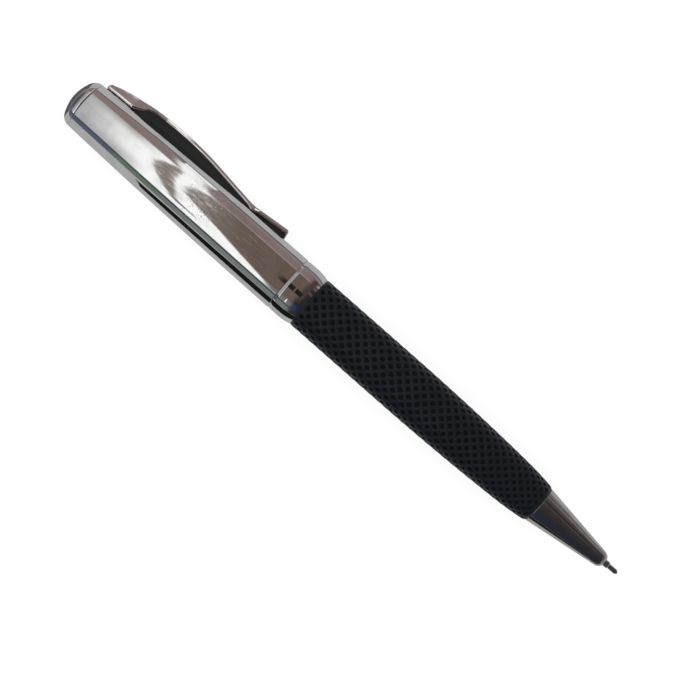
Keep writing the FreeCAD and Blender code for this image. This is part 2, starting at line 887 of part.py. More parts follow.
def make_eraser_ferrule():
    """The metal cup round the eraser, with a stub that plugs the lead tube."""
    inner = D.eraser_radius + D.press_gap
    turned_piece("eraser_ferrule", [
        (D.ferrule_start, inner),
        (D.ferrule_start, inner + D.ferrule_wall),
        (D.tube_start - D.press_gap, inner + D.ferrule_wall),
        (D.tube_start - D.press_gap, D.tube_bore - D.running_gap),
        (D.ferrule_stub_end, D.tube_bore - D.running_gap),
        (D.ferrule_stub_end, 0),
        (D.ferrule_floor, 0),
        (D.ferrule_floor, inner),
    ])


make_eraser()
make_eraser_ferrule()


# ---------------------------------------------------------------- checks and export

doc.recompute()
for item in doc.Objects:
    if {"Invalid", "Error"} & set(item.State):
        raise RuntimeError(f"{item.Label} failed: {item.State}")
solid_counts = {"drive_pins": 2, "spare_leads": 3}
os.makedirs("parts", exist_ok=True)
for piece in pieces:
    shape = piece.Shape
    wanted = solid_counts.get(piece.Label, 1)
    if shape.isNull() or not shape.isValid() or len(shape.Solids) != wanted:
        raise RuntimeError(f"{piece.Label} isn't {wanted} valid solid")
    shape.exportStep(f"parts/{piece.Label}.step")
    box = shape.BoundBox
    print(f"{piece.Label:20s} {shape.Volume:9.2f} mm3  x {box.XMin:7.2f} {box.XMax:7.2f}"
          f"  y {box.YMin:6.2f} {box.YMax:6.2f}  z {box.ZMin:6.2f} {box.ZMax:6.2f}")
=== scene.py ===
# %% [markdown]
# # A twist-action mechanical pencil
# The pencil lies on a pale table: a chromed upper barrel with a pocket clip, a chromed centre ring,
# a dimpled black grip and a steel writing cone. The CAD model comes in first as a fixed frame, and it
# gives every place and size. What this lesson adds are the surfaces that the eye meets: rounded edges,
# the clip's bevels, the dimples, and a finish for each piece, down to the brass and steel inside.

# %% The frame
import math

import bmesh
import bpy
from mathutils import Matrix, Vector


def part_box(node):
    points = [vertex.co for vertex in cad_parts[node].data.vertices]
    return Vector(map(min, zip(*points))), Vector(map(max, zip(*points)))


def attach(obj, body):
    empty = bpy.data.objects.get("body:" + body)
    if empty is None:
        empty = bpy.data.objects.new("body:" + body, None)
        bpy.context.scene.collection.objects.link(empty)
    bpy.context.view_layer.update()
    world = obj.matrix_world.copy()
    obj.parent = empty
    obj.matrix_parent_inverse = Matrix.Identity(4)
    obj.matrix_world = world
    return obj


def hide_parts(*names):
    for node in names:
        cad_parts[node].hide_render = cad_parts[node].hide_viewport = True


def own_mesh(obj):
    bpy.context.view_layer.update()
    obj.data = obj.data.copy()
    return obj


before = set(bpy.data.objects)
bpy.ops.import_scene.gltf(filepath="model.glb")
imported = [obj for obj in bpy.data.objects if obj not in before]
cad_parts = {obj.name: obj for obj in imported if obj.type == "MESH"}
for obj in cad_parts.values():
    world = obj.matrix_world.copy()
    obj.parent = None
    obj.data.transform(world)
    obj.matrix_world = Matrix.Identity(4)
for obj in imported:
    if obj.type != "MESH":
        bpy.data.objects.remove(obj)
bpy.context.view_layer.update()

print("nodes in the frame:", len(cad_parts))

# %% [markdown]
# ## Stations along the pencil
# A pencil maker gives every length as a distance from the crown of the dome, and every height from the
# axis. The drawing's sizes below are in millimetres. One function turns a station, a distance across and
# a distance up into a place in the scene, in metres, and can roll it about the axis, because the clip
# came to rest 27 degrees below level. The crown and the axis are read from the frame's own boxes.

# %% Where the pencil lies
MM = 0.001
CLIP_ROLL = math.radians(-27.0)
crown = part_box("finial_dome")[0].x
grip_low, grip_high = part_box("grip_barrel")
axis_y = (grip_low.y + grip_high.y) / 2
axis_z = (grip_low.z + grip_high.z) / 2


def on_pencil(station, across, up, roll=0.0):
    """The place in metres of a point given in millimetres from the crown and from the axis."""
    c = math.cos(roll)
    s = math.sin(roll)
    y = across * c - up * s
    z = across * s + up * c
    return Vector((crown + station * MM, axis_y + y * MM, axis_z + z * MM))


print("axis at", round(axis_y / MM, 3), round(axis_z / MM, 3), "mm, crown at", round(crown / MM, 3), "mm")

# %% [markdown]
# ## The camera
# The pencil is seen from almost straight above, with its dome up and to the left. The camera stands
# a third of a metre over the table, a little towards the writing tip, and looks straight down. A small
# lens shift frames the whole pencil. Its rightward direction is 41 degrees away from the pencil's axis.

# %% The camera
camera_data = bpy.data.cameras.new("camera")
camera_data.lens = 92.5
camera_data.sensor_width = 36.0
camera_data.clip_start = 0.01
camera_data.shift_x = -0.0480
camera_data.shift_y = 0.0424
camera = bpy.data.objects.new("camera", camera_data)
bpy.context.scene.collection.objects.link(camera)
bpy.context.scene.camera = camera
eye = Vector((0.01107, -0.00319, 0.3478))
right = Vector((0.75065, 0.66070, 0.0))
back = Vector((0.0, 0.0, 1.0))
up = back.cross(right)
turned = Matrix((right, up, back)).transposed().to_4x4()
camera.matrix_world = Matrix.Translation(eye) @ turned
print("camera at", [round(v, 4) for v in camera.matrix_world.translation])

# %% [markdown]
# ## Sums of sockets
# Node trees hold most of the rules of this pencil, both the grip's dimples and the finishes. A tree is
# easier to read as a formula, so one small class wraps a socket and turns Python's own operators into
# Math nodes. A second one makes any other node, with its settings first and its sockets after them.

# %% A socket that can be added and multiplied


class Flow:
    """One output socket, which grows Math nodes when it is used in a sum."""

    def __init__(self, socket):
        self.socket = socket
        self.tree = socket.id_data

    def maths(self, operation, *others):
        node = self.tree.nodes.new("ShaderNodeMath")
        node.operation = operation
        for slot_number, value in enumerate(others):
            if isinstance(value, Flow):
                self.tree.links.new(value.socket, node.inputs[slot_number])
            else:
                node.inputs[slot_number].default_value = value
        return Flow(node.outputs[0])

    def __add__(self, other):
        return self.maths("ADD", self, other)

    def __radd__(self, other):
        return self.maths("ADD", other, self)

    def __sub__(self, other):
        return self.maths("SUBTRACT", self, other)

    def __rsub__(self, other):
        return self.maths("SUBTRACT", other, self)

    def __mul__(self, other):
        return self.maths("MULTIPLY", self, other)

    def __rmul__(self, other):
        return self.maths("MULTIPLY", other, self)

    def __truediv__(self, other):
        return self.maths("DIVIDE", self, other)

    def __pow__(self, other):
        return self.maths("POWER", self, other)

    def held(self):
        """Kept between 0 and 1."""
        return self.maths("MINIMUM", self.maths("MAXIMUM", self, 0.0), 1.0)

    def rises(self, low, high):
        """0 below low and 1 above high, with a soft change between them."""
        t = ((self - low) / (high - low)).held()
        return t * t * (3.0 - 2.0 * t)

    def within(self, low, high, soft):
        """1 between low and high, with soft edges."""
        return self.rises(low - soft, low + soft) * (1.0 - self.rises(high - soft, high + soft))


class Tree:
    """A node tree that makes any node from its type, its settings and its sockets."""

    def __init__(self, tree):
        self.tree = tree

    def node(self, kind, settings=None, sockets=None):
        made = self.tree.nodes.new(kind)
        for name, value in (settings or {}).items():
            setattr(made, name, value)
        for name, value in (sockets or {}).items():
            if isinstance(value, Flow):
                self.tree.links.new(value.socket, made.inputs[name])
            else:
                made.inputs[name].default_value = value
        return made

    def out(self, kind, settings=None, sockets=None, output=0):
        return Flow(self.node(kind, settings, sockets).outputs[output])

    def blend(self, first, second, factor):
        """first where factor is 0 and second where it is 1, for two colours."""
        settings = {"data_type": "RGBA", "clamp_factor": True}
        made = self.node("ShaderNodeMix", settings)
        for index, value in ((0, factor), (6, first), (7, second)):
            if isinstance(value, Flow):
                self.tree.links.new(value.socket, made.inputs[index])
            else:
                made.inputs[index].default_value = value if index == 0 else tuple(value) + (1.0,)
        return Flow(made.outputs[2])


def grey(level, warmth=0.0):
    """A colour of one linear brightness, a little warmer or cooler."""
    return (level * (1.0 + warmth), level, level * (1.0 - warmth))


print("formulas ready")

# %% [markdown]
# ## Pieces turned on a lathe
# Most of a pen is turned, so most pieces here are a profile spun about the axis. A corner of a real
# turned piece is never sharp: it is broken by a few hundredths of a millimetre, and that thin rounding
# is what catches the light. Each corner of a profile may carry a cut, which is how far it is rounded
# back, and each run may carry the radius of its arc. Two close loops beside every rounding keep the
# long faces flat in the shading.

# %% Profiles


def arc_between(first, second, radius):
    """Points of the arc from first to second, which bulges to the left of travel if radius is positive."""
    run = Vector(second) - Vector(first)
    length = run.length
    steps = max(1, math.ceil(length / 2.5))
    half = 0.0
    if radius:
        half = math.asin(min(1.0, length / 2 / abs(radius)))
        steps = max(steps, math.ceil(2 * half / math.radians(5.0)))
    left = Vector((-run.y, run.x)) / length * (1.0 if radius > 0 else -1.0)
    points = []
    for step in range(steps):
        t = step / steps
        if radius:
            turn = half * (2 * t - 1)
            along = 0.5 + math.sin(turn) / math.sin(half) / 2
            rise = abs(radius) * (math.cos(turn) - math.cos(half))
        else:
            along = t
            rise = 0.0
        points.append(Vector(first) + run * along + left * rise)
    return points


def profile(corners, closed=False):
    """Corners (x, y, cut, radius) as a line of points with its arcs and its rounded corners."""
    line = []
    cuts = []
    count = len(corners)
    for index, (x, y, cut, radius) in enumerate(corners):
        if index == count - 1 and not closed:
            points = [Vector((x, y))]
        else:
            after = corners[(index + 1) % count]
            points = arc_between((x, y), after[:2], radius)
        line += points
        cuts += [cut] + [0.0] * (len(points) - 1)
    rounded = []
    total = len(line)
    for index, point in enumerate(line):
        cut = cuts[index]
        if not cut:
            rounded.append(point)
            continue
        before = line[index - 1] - point
        after = line[(index + 1) % total] - point
        reach = min(cut, before.length * 0.4, after.length * 0.4)
        start = point + before.normalized() * reach
        end = point + after.normalized() * reach
        beside = min(0.03, reach * 0.6)
        rounded.append(start + before.normalized() * beside)
        for step in range(5):
            t = step / 4
            rounded.append(start * (1 - t) ** 2 + point * 2 * t * (1 - t) + end * t * t)
        rounded.append(end + after.normalized() * beside)
    return rounded


def finished_object(name, mesh_data, body, nodes, outward=True):
    """Puts a bmesh in the scene as one piece that rides on a body and stands for CAD nodes."""
    if outward:
        bmesh.ops.recalc_face_normals(mesh_data, faces=mesh_data.faces[:])
    for face in mesh_data.faces:
        face.smooth = True
    mesh = bpy.data.meshes.new(name)
    mesh_data.to_mesh(mesh)
    mesh_data.free()
    piece = bpy.data.objects.new(name, mesh)
    bpy.context.scene.collection.objects.link(piece)
    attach(piece, body)
    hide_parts(*nodes)
    print(name, "has", len(mesh.polygons), "faces")
    return piece


def spin(line, closed=False, segments=192, roll=0.0):
    """A line of points (station, radius) turned about the pencil's axis, as a bmesh."""
    made = bmesh.new()
    rings = []
    for station, radius in line:
        if radius < 1e-6:
            rings.append([made.verts.new(on_pencil(station, 0.0, 0.0))])
            continue
        ring = []
        for index in range(segments):
            angle = math.tau * index / segments
            across = radius * math.cos(angle)
            ring.append(made.verts.new(on_pencil(station, across, radius * math.sin(angle), roll)))
        rings.append(ring)
    pairs = list(zip(rings, rings[1:]))
    if closed:
        pairs.append((rings[-1], rings[0]))
    for first, second in pairs:
        for index in range(segments):
            after = (index + 1) % segments
            corners = [first[index % len(first)], first[after % len(first)]]
            corners += [second[after % len(second)], second[index % len(second)]]
            unique = list(dict.fromkeys(corners))
            if len(unique) > 2:
                made.faces.new(unique)
    return made


print("a lathe with rounded corners is ready")

# %% [markdown]
# ## The dome
# The dome closes the pencil's end. It is a low cap with a tight shoulder, and a spigot under it screws
# into the upper barrel. Two arcs make its outside, so that the shoulder's last half millimetre runs
# level with the barrel and shines like it.

# %% The dome
dome_line = profile([
    (0.0, 0.0, 0.0, 10.0),
    (0.95, 3.75, 0.12, 2.0),
    (3.12, 5.02, 0.05, 0.0),
    (3.12, 4.49, 0.0, 0.0),
    (5.4, 4.49, 0.08, 0.0),
    (5.4, 0.0, 0.0, 0.0),
])
dome = finished_object("dome", spin(dome_line), "upper", ["finial_dome"])

# %% [markdown]
# ## The upper barrel
# The upper barrel is a brass tube, chromed all over, that swells very slightly from 10.1 mm at the dome
# to 11.7 mm at the ring. The clip's leg goes in through a small window in its side. Boolean cuts leave
# long thin faces that show in polished metal, so the window is made by leaving out whole faces of the
# lathe's own grid, outside and inside, and by joining the two rims.

# %% The upper barrel
WINDOW_START = 5.70
WINDOW_END = 8.35
barrel_line = profile([
    (3.16, 4.50, 0.04, 0.0),
    (3.16, 5.05, 0.06, 1708.0),
    (WINDOW_START, 5.125, 0.0, 1708.0),
    (WINDOW_END, 5.20, 0.0, 1708.0),
    (26.3, 5.595, 0.0, 1708.0),
    (40.0, 5.765, 0.0, 1708.0),
    (54.05, 5.85, 0.06, 0.0),
    (54.05, 4.70, 0.08, 0.0),
    (12.0, 4.70, 0.0, 0.0),
    (12.0, 4.50, 0.0, 0.0),
    (WINDOW_END, 4.50, 0.0, 0.0),
    (WINDOW_START, 4.50, 0.0, 0.0),
], closed=True)
barrel_mesh = spin(barrel_line, closed=True, roll=CLIP_ROLL)
window_faces = []
toward_clip = Vector((0.0, math.cos(CLIP_ROLL), math.sin(CLIP_ROLL)))
for face in barrel_mesh.faces:
    middle = face.calc_center_median() - on_pencil(0.0, 0.0, 0.0)
    station = middle.x / MM
    out = Vector((0.0, middle.y, middle.z)).normalized()
    if WINDOW_START < station < WINDOW_END and out.dot(toward_clip) > math.cos(math.radians(16.9)):
        window_faces.append(face)
bmesh.ops.delete(barrel_mesh, geom=window_faces, context="FACES")
rims = [edge for edge in barrel_mesh.edges if edge.is_boundary]
bmesh.ops.bridge_loops(barrel_mesh, edges=rims)
print("window of", len(window_faces), "faces, rim of", len(rims), "edges")
barrel = finished_object("barrel", barrel_mesh, "upper", ["upper_barrel"])

# %% [markdown]
# ## The centre ring
# The ring sits between the two halves of the pencil and is pressed on the coupler. Its rear edge is
# rounded over half a millimetre, so that it lights up as a fine line beside the dark seam.

# %% The centre ring
ring_line = profile([
    (54.10, 4.61, 0.0, 0.0),
    (54.10, 5.70, 0.04, 0.0),
    (54.42, 5.775, 0.08, 0.0),
    (54.68, 5.83, 0.08, 0.0),
    (56.1, 5.83, 0.10, 9.0),
    (59.40, 5.40, 0.05, 0.0),
    (59.40, 4.61, 0.0, 0.0),
], closed=True)
ring = finished_object("ring", spin(ring_line, closed=True), "lower", ["centre_ring"])

# %% [markdown]
# ## The writing cone, its sleeve and the lead
# The cone is plain turned steel with a rounded nose. A thin stepped sleeve comes out of it, and the lead
# shows for a third of a millimetre. The lead's own end is worn to a small flat.

# %% The writing cone, the sleeve and the lead
cone_line = profile([
    (117.5, 2.76, 0.0, 0.0),
    (117.5, 3.85, 0.10, 0.0),
    (132.9, 1.68, 0.0, 1.6),
    (134.2, 0.78, 0.03, 0.0),
    (134.2, 0.71, 0.0, 0.0),
    (129.2, 0.71, 0.0, 0.0),
    (129.2, 1.11, 0.0, 0.0),
    (124.5, 1.11, 0.0, 0.0),
    (124.5, 2.20, 0.0, 0.0),
    (121.01, 2.20, 0.0, 0.0),
    (121.01, 2.76, 0.0, 0.0),
], closed=True)
cone = finished_object("cone", spin(cone_line, closed=True), "lower", ["writing_cone"])
sleeve_line = profile([
    (129.2, 0.37, 0.0, 0.0),
    (129.2, 0.70, 0.0, 0.0),
    (135.0, 0.70, 0.04, 0.0),
    (135.3, 0.50, 0.04, 0.0),
    (137.0, 0.50, 0.05, 0.0),
    (137.0, 0.37, 0.0, 0.0),
], closed=True)
sleeve = finished_object("sleeve", spin(sleeve_line, True, 64), "lower", ["lead_sleeve"])
lead_line = profile([
    (92.0, 0.0, 0.0, 0.0),
    (92.0, 0.345, 0.03, 0.0),
    (137.14, 0.345, 0.04, 0.0),
    (137.35, 0.17, 0.03, 0.0),
    (137.35, 0.0, 0.0, 0.0),
])
lead = finished_object("lead", spin(lead_line, False, 32), "carriage", ["working_lead"])

# %% [markdown]
# ## The pocket clip
# The clip has a solid wedge-shaped head, then a thin springy arm that rises to a crest, comes down to
# press on the barrel and turns up at its tail. It could be an outline given a thickness, but its edges
# change along its length: wide bevels at the head, fine ones on the arm. So it is lofted. A rounded
# rectangle is drawn at each station, with its own height, width and bevels, and the sections are joined.

# %% The pocket clip
CLIP_START = 3.45
CLIP_END = 47.55
CLIP_WIDTH = 4.0
GAUGE = 0.88
DRAFT = math.radians(7.0)
clip_top = profile([
    (CLIP_START, 5.95, 0.0, 0.90),
    (3.70, 6.32, 0.0, 24.0),
    (10.6, 8.24, 0.0, 72.0),
    (20.6, 8.93, 0.0, 60.0),
    (29.4, 8.28, 0.0, 0.0),
    (38.0, 7.04, 0.0, -10.0),
    (40.7, 7.07, 0.0, 0.0),
    (47.0, 7.80, 0.0, 0.55),
    (CLIP_END, 7.36, 0.0, 0.0),
])
clip_floor = profile([
    (CLIP_START, 5.12, 0.0, 0.0),
    (9.50, 5.30, 0.25, 0.0),
    (11.0, 6.18, 0.25, -2.2),
    (11.9, 7.15, 0.10, 0.0),
    (13.5, 7.80, 0.25, 72.0 - GAUGE),
    (20.6, 8.93 - GAUGE, 0.0, 60.0 - GAUGE),
    (29.4, 8.28 - GAUGE, 0.0, 0.0),
    (38.0, 7.04 - GAUGE, 0.20, 0.0),
    (39.05, 5.81, 0.15, 0.0),
    (39.75, 5.81, 0.15, 0.0),
    (40.7, 7.07 - GAUGE, 0.20, 0.0),
    (47.44, 7.80 - GAUGE, 0.0, 0.0),
    (CLIP_END, 7.28, 0.0, 0.0),
])


def height_at(line, station):
    """The height of a line of points at a station, by the run it falls in."""
    if station <= line[0].x:
        return line[0].y
    for first, second in zip(line, line[1:]):
        if first.x <= station <= second.x and second.x > first.x:
            return first.y + (second.y - first.y) * (station - first.x) / (second.x - first.x)
    return line[-1].y


def rounded_section(floor, top, half_width, floor_bevel, top_bevel, flat=0.5):
    """A bevelled section as points (across, height), a little narrower at its top, like a pressing."""
    corners = [(1, -1, floor_bevel), (1, 1, top_bevel), (-1, 1, top_bevel), (-1, -1, floor_bevel)]
    points = []
    limit = min(half_width, (top - floor) / 2) * 0.94
    for number, (side, level, bevel) in enumerate(corners):
        bevel = min(bevel, limit)
        draft = (top - floor) * math.tan(DRAFT) if level > 0 else 0.0
        corner = Vector((side * (half_width - draft), top if level > 0 else floor))
        along_side = Vector((0.0, -level))
        along_edge = Vector((-side, 0.0))
        first, second = along_edge, along_side
        if number % 2:
            first, second = along_side, along_edge
        start = corner + first * bevel
        end = corner + second * bevel
        beside = min(0.03, bevel * 0.3, limit * 0.05)
        points.append(start + first * beside)
        for step in range(6):
            t = step / 5
            curved = start * (1 - t) ** 2 + corner * 2 * t * (1 - t) + end * t * t
            straight = start.lerp(end, t)
            points.append(curved.lerp(straight, flat))
        points.append(end + second * beside)
    return points


def bevels_at(station):
    """The bevels of the clip's floor and top edges at a station, in millimetres."""
    head = 1.0 - min(1.0, max(0.0, (station - 9.0) / 3.5))
    return 0.24 + 0.20 * head, 0.15 + 0.05 * head


stations = {CLIP_START, 3.46, 3.49, 3.54, 3.61, 3.70, 3.8}
stations |= {CLIP_END, 47.53, 47.49, 47.44, 47.38, 47.3, 47.2}
stations |= {round(3.9 + 0.3 * step, 3) for step in range(145)}
for line in (clip_top, clip_floor):
    stations |= {round(point.x, 4) for point in line}
stations = sorted(station for station in stations if CLIP_START <= station <= CLIP_END)
kept = [stations[0]]
for station in stations[1:]:
    if station - kept[-1] > 0.009:
        kept.append(station)
clip_mesh = bmesh.new()
sections = []
for station in kept:
    head_in = max(0.0, 1.0 - (station - CLIP_START) / 0.25)
    tail_in = max(0.0, 1.0 - (CLIP_END - station) / 0.55)
    half_width = CLIP_WIDTH / 2 - 0.16 * head_in ** 2 - 0.30 * tail_in ** 2
    floor_bevel, top_bevel = bevels_at(station)
    shape = rounded_section(
        height_at(clip_floor, station), height_at(clip_top, station), half_width, floor_bevel, top_bevel
    )
    sections.append([clip_mesh.verts.new(on_pencil(station, h, w, CLIP_ROLL)) for w, h in shape])
for first, second in zip(sections, sections[1:]):
    for index in range(len(first)):
        after = (index + 1) % len(first)
        clip_mesh.faces.new((first[index], first[after], second[after], second[index]))


def close_end(made, loop, share):
    """Fills a loop of the clip's end with a smaller loop and one flat face."""
    middle = sum((vert.co for vert in loop), Vector()) / len(loop)
    inner = [made.verts.new(vert.co.lerp(middle, share)) for vert in loop]
    for index in range(len(loop)):
        after = (index + 1) % len(loop)
        made.faces.new((loop[index], loop[after], inner[after], inner[index]))
    made.faces.new(inner)


close_end(clip_mesh, sections[0], 0.06)
close_end(clip_mesh, sections[-1], 0.3)
leg = [(5.80, 3.40), (5.80, 5.60), (8.00, 5.60), (8.00, 3.85), (9.20, 3.85), (9.20, 3.40)]
leg_sides = []
for side in (-1.2, 1.2):
    leg_sides.append([clip_mesh.verts.new(on_pencil(x, h, side, CLIP_ROLL)) for x, h in leg])
    clip_mesh.faces.new(leg_sides[-1])
for index in range(len(leg)):
    after = (index + 1) % len(leg)
    clip_mesh.faces.new((leg_sides[0][index], leg_sides[0][after], leg_sides[1][after], leg_sides[1][index]))
bmesh.ops.recalc_face_normals(clip_mesh, faces=clip_mesh.faces[:])
clip = finished_object("clip", clip_mesh, "clip", ["pocket_clip"], outward=False)
print("clip lofted through", len(kept), "sections")

# %% [markdown]
# ## The grip, by Geometry Nodes
# The grip is moulded with round dimples in two half-staggered lattices, 16 round it, that grow smaller
# with it towards the tip. Thousands of small cuts would be slow, and a bump alone leaves a smooth
# outline. The shape follows a rule, so a node tree makes it from a flat grid: one side of the grid runs
# round the grip and the other along it, and each point's distance from the axis is the grip's profile
# less the depth of the nearest dimple. A second, coarse grid makes the end faces and the bore. The depth
# is also stored on the points, for the finish to use. It is stored while the grid is still flat, because
# the rule reads each point's place on the flat grid.

# %% The grip's node tree
grip_tree = bpy.data.node_groups.new("dimpled_grip", "GeometryNodeTree")
grip_tree.is_modifier = True
grip_inputs = {}
for label, value in {
    "Crown": crown,
    "Axis across": axis_y,
    "Axis height": axis_z,
    "Dimples round": 16.0,
    "Dimple rows": 28.5,
    "Dimple depth": 0.15,
    "Dimple radius": 0.58,
}.items():
    socket = grip_tree.interface.new_socket(label, in_out="INPUT", socket_type="NodeSocketFloat")
    socket.default_value = value
    grip_inputs[label] = (socket.identifier, value)
grip_tree.interface.new_socket("Finish", in_out="INPUT", socket_type="NodeSocketMaterial")
grip_tree.interface.new_socket("Geometry", in_out="OUTPUT", socket_type="NodeSocketGeometry")
tree = Tree(grip_tree)
given = grip_tree.nodes.new("NodeGroupInput")
given_value = {label: Flow(given.outputs[label]) for label in grip_inputs}

GRIP_START = 59.40
GRIP_END = 117.45
GRIP_RADIUS = 5.50
TAPER_START = 82.0
TAPER_MIDDLE = (110.0, 4.80)
LIP = (116.75, 4.17)
BORE_STEP = 100.01
REAR_RIM = 5.40
REAR_BORE = 4.41
FRONT_BORE = 3.41
FRONT_RIM = 3.80
GRIP_COLUMNS = 224
GRIP_ROWS = 399


def flat_grid(columns, rows):
    """A grid of one unit each way, with its two places as values from 0 to 1."""
    sizes = {"Size X": 1.0, "Size Y": 1.0, "Vertices X": columns + 1, "Vertices Y": rows + 1}
    made = tree.out("GeometryNodeMeshGrid", None, sizes)
    place = tree.node("ShaderNodeSeparateXYZ", None, {"Vector": tree.out("GeometryNodeInputPosition")})
    return made, Flow(place.outputs[0]) + 0.5, Flow(place.outputs[1]) + 0.5


def wrapped(geometry, round_it, station, radius):
    """The grid's points set round the axis, from millimetres to metres."""
    angle = round_it * math.tau
    across = angle.maths("COSINE", angle) * radius * MM + given_value["Axis across"]
    up = angle.maths("SINE", angle) * radius * MM + given_value["Axis height"]
    place = tree.out("ShaderNodeCombineXYZ", None, {
        "X": station * MM + given_value["Crown"],
        "Y": across,
        "Z": up,
    })
    return tree.out("GeometryNodeSetPosition", None, {"Geometry": geometry, "Position": place})


def nearest_whole(value):
    """How far a value is from the nearest whole number."""
    return (value - value.maths("ROUND", value)).maths("ABSOLUTE", value - value.maths("ROUND", value))


def sagged_run(station, start, end, radius):
    """Heights along a shallow arc between two corners, and 0 outside it."""
    t = station - start[0]
    left = end[0] - station
    slope = (end[1] - start[1]) / (end[0] - start[0])
    height = t * slope + start[1] + t * left * (0.5 / radius)
    inside = station.maths("GREATER_THAN", station, start[0])
    inside = inside * (1.0 - station.maths("GREATER_THAN", station, end[0]))
    return height * inside


grid, u, v = flat_grid(GRIP_COLUMNS, GRIP_ROWS)
length = GRIP_END - GRIP_START
along = v + v * v * (1.0 - v) * 0.10
station = along * length + GRIP_START
radius = (1.0 - station.maths("GREATER_THAN", station, TAPER_START)) * GRIP_RADIUS
radius = radius + sagged_run(station, (TAPER_START, GRIP_RADIUS), TAPER_MIDDLE, 560.0)
radius = radius + sagged_run(station, TAPER_MIDDLE, LIP, 79.0)
lip = station.maths("GREATER_THAN", station, LIP[0])
past_lip = station - LIP[0]
lip_height = LIP[1] - past_lip * 0.5286 + past_lip * (0.70 - past_lip) * 0.55
radius = radius + lip * lip_height
radius = radius - (1.0 - ((station - GRIP_START) / 0.14).held()) * 0.10
around = u * given_value["Dimples round"]
rows_along = v * given_value["Dimple rows"]
across_pitch = radius * math.tau / given_value["Dimples round"]
row_pitch = (1.0 + v * (2.0 - 3.0 * v) * 0.10) * length / given_value["Dimple rows"]
first_miss = ((nearest_whole(around) * across_pitch) ** 2.0 + (nearest_whole(rows_along) * row_pitch) ** 2.0)
second_miss = (nearest_whole(around + 0.5) * across_pitch) ** 2.0
second_miss = second_miss + (nearest_whole(rows_along + 0.5) * row_pitch) ** 2.0
miss = first_miss.maths("MINIMUM", first_miss, second_miss) ** 0.5
reach = given_value["Dimple radius"] * radius / GRIP_RADIUS
cup = (1.0 - (miss / reach)).held()
cup = cup.rises(0.02, 0.36)
cup = cup * station.rises(GRIP_START + 0.35, GRIP_START + 0.9)
cup = cup * (1.0 - station.rises(GRIP_END - 1.0, GRIP_END - 0.45))
marked = tree.out("GeometryNodeStoreNamedAttribute", {"data_type": "FLOAT", "domain": "POINT"}, {
    "Geometry": grid,
    "Name": "cup",
    "Value": cup,
})
outer = wrapped(marked, u, station, radius - cup * given_value["Dimple depth"])
wall, wall_u, wall_v = flat_grid(GRIP_COLUMNS, 5)
row = wall_v * 5.0
wall_station = GRIP_START + (row - 1.0).held() * (BORE_STEP - GRIP_START)
wall_station = wall_station + (row - 3.0).held() * (GRIP_END - BORE_STEP)
wall_radius = REAR_RIM - row.held() * (REAR_RIM - REAR_BORE)
wall_radius = wall_radius - (row - 2.0).held() * (REAR_BORE - FRONT_BORE)
wall_radius = wall_radius + (row - 4.0).held() * (FRONT_RIM - FRONT_BORE)
inner = wrapped(wall, wall_u, wall_station, wall_radius)
joined = grip_tree.nodes.new("GeometryNodeJoinGeometry")
grip_tree.links.new(inner.socket, joined.inputs[0])
grip_tree.links.new(outer.socket, joined.inputs[0])
merged = tree.out("GeometryNodeMergeByDistance", None, {
    "Geometry": Flow(joined.outputs[0]),
    "Distance": 0.000004,
})
real = tree.out("GeometryNodeRealizeInstances", None, {"Geometry": merged})
painted = tree.out("GeometryNodeSetMaterial", None, {
    "Geometry": real,
    "Material": Flow(given.outputs["Finish"]),
})
result = grip_tree.nodes.new("NodeGroupOutput")
grip_tree.links.new(painted.socket, result.inputs["Geometry"])
print("the grip's tree has", len(grip_tree.nodes), "nodes")

# %% The grip
grip_finish = bpy.data.materials.new("moulded_grip")
seed_mesh = bpy.data.meshes.new("grip_seed")
seed = bpy.data.objects.new("grip_seed", seed_mesh)
bpy.context.scene.collection.objects.link(seed)
modifier = seed.modifiers.new("dimples", "NODES")
modifier.node_group = grip_tree
for label, (identifier, value) in grip_inputs.items():
    modifier[identifier] = float(value)
for item in grip_tree.interface.items_tree:
    if item.name == "Finish":
        modifier[item.identifier] = grip_finish
bpy.context.view_layer.update()
evaluated = seed.evaluated_get(bpy.context.evaluated_depsgraph_get())
grip_plain = bpy.data.meshes.new_from_object(evaluated)
seed.modifiers.clear()
bpy.data.objects.remove(seed)
grip_mesh = bmesh.new()
grip_mesh.from_mesh(grip_plain)
open_edges = sum(1 for edge in grip_mesh.edges if not edge.is_manifold)
print("grip points", len(grip_mesh.verts), "open edges", open_edges)
grip = finished_object("grip", grip_mesh, "lower", ["grip_barrel"])
grip.data.materials.clear()
grip.data.materials.append(grip_finish)

# %% [markdown]
# ## The eraser and its cup
# Pulling the upper barrel off shows a small white eraser in a metal cup on the end of the lead tube.
# The eraser's edge is worn round, and the cup has two rolled grooves that stiffen it.

# %% The eraser and its cup
eraser_line = profile([
    (16.5, 0.0, 0.0, 14.0),
    (16.62, 1.9, 0.0, 0.75),
    (17.05, 2.55, 0.0, 0.0),
    (23.99, 2.55, 0.05, 0.0),
    (23.99, 0.0, 0.0, 0.0),
])
eraser = finished_object("eraser_stub", spin(eraser_line, False, 96), "eraser", ["eraser"])
ferrule_line = profile([
    (19.5, 2.56, 0.0, 0.0),
    (19.5, 2.86, 0.06, 0.0),
    (20.4, 2.86, 0.10, 0.0),
    (20.6, 2.76, 0.06, 0.0),
    (20.8, 2.86, 0.10, 0.0),
    (21.4, 2.86, 0.10, 0.0),
    (21.6, 2.76, 0.06, 0.0),
    (21.8, 2.86, 0.10, 0.0),
    (24.99, 2.86, 0.18, 0.0),
    (24.99, 1.10, 0.0, 0.0),
    (31.5, 1.10, 0.05, 0.0),
    (31.5, 0.0, 0.0, 0.0),
    (24.0, 0.0, 0.0, 0.0),
    (24.0, 2.56, 0.0, 0.0),
])
ferrule_mesh = spin(ferrule_line, False, 96)
rim_edges = [edge for edge in ferrule_mesh.edges if edge.is_boundary]
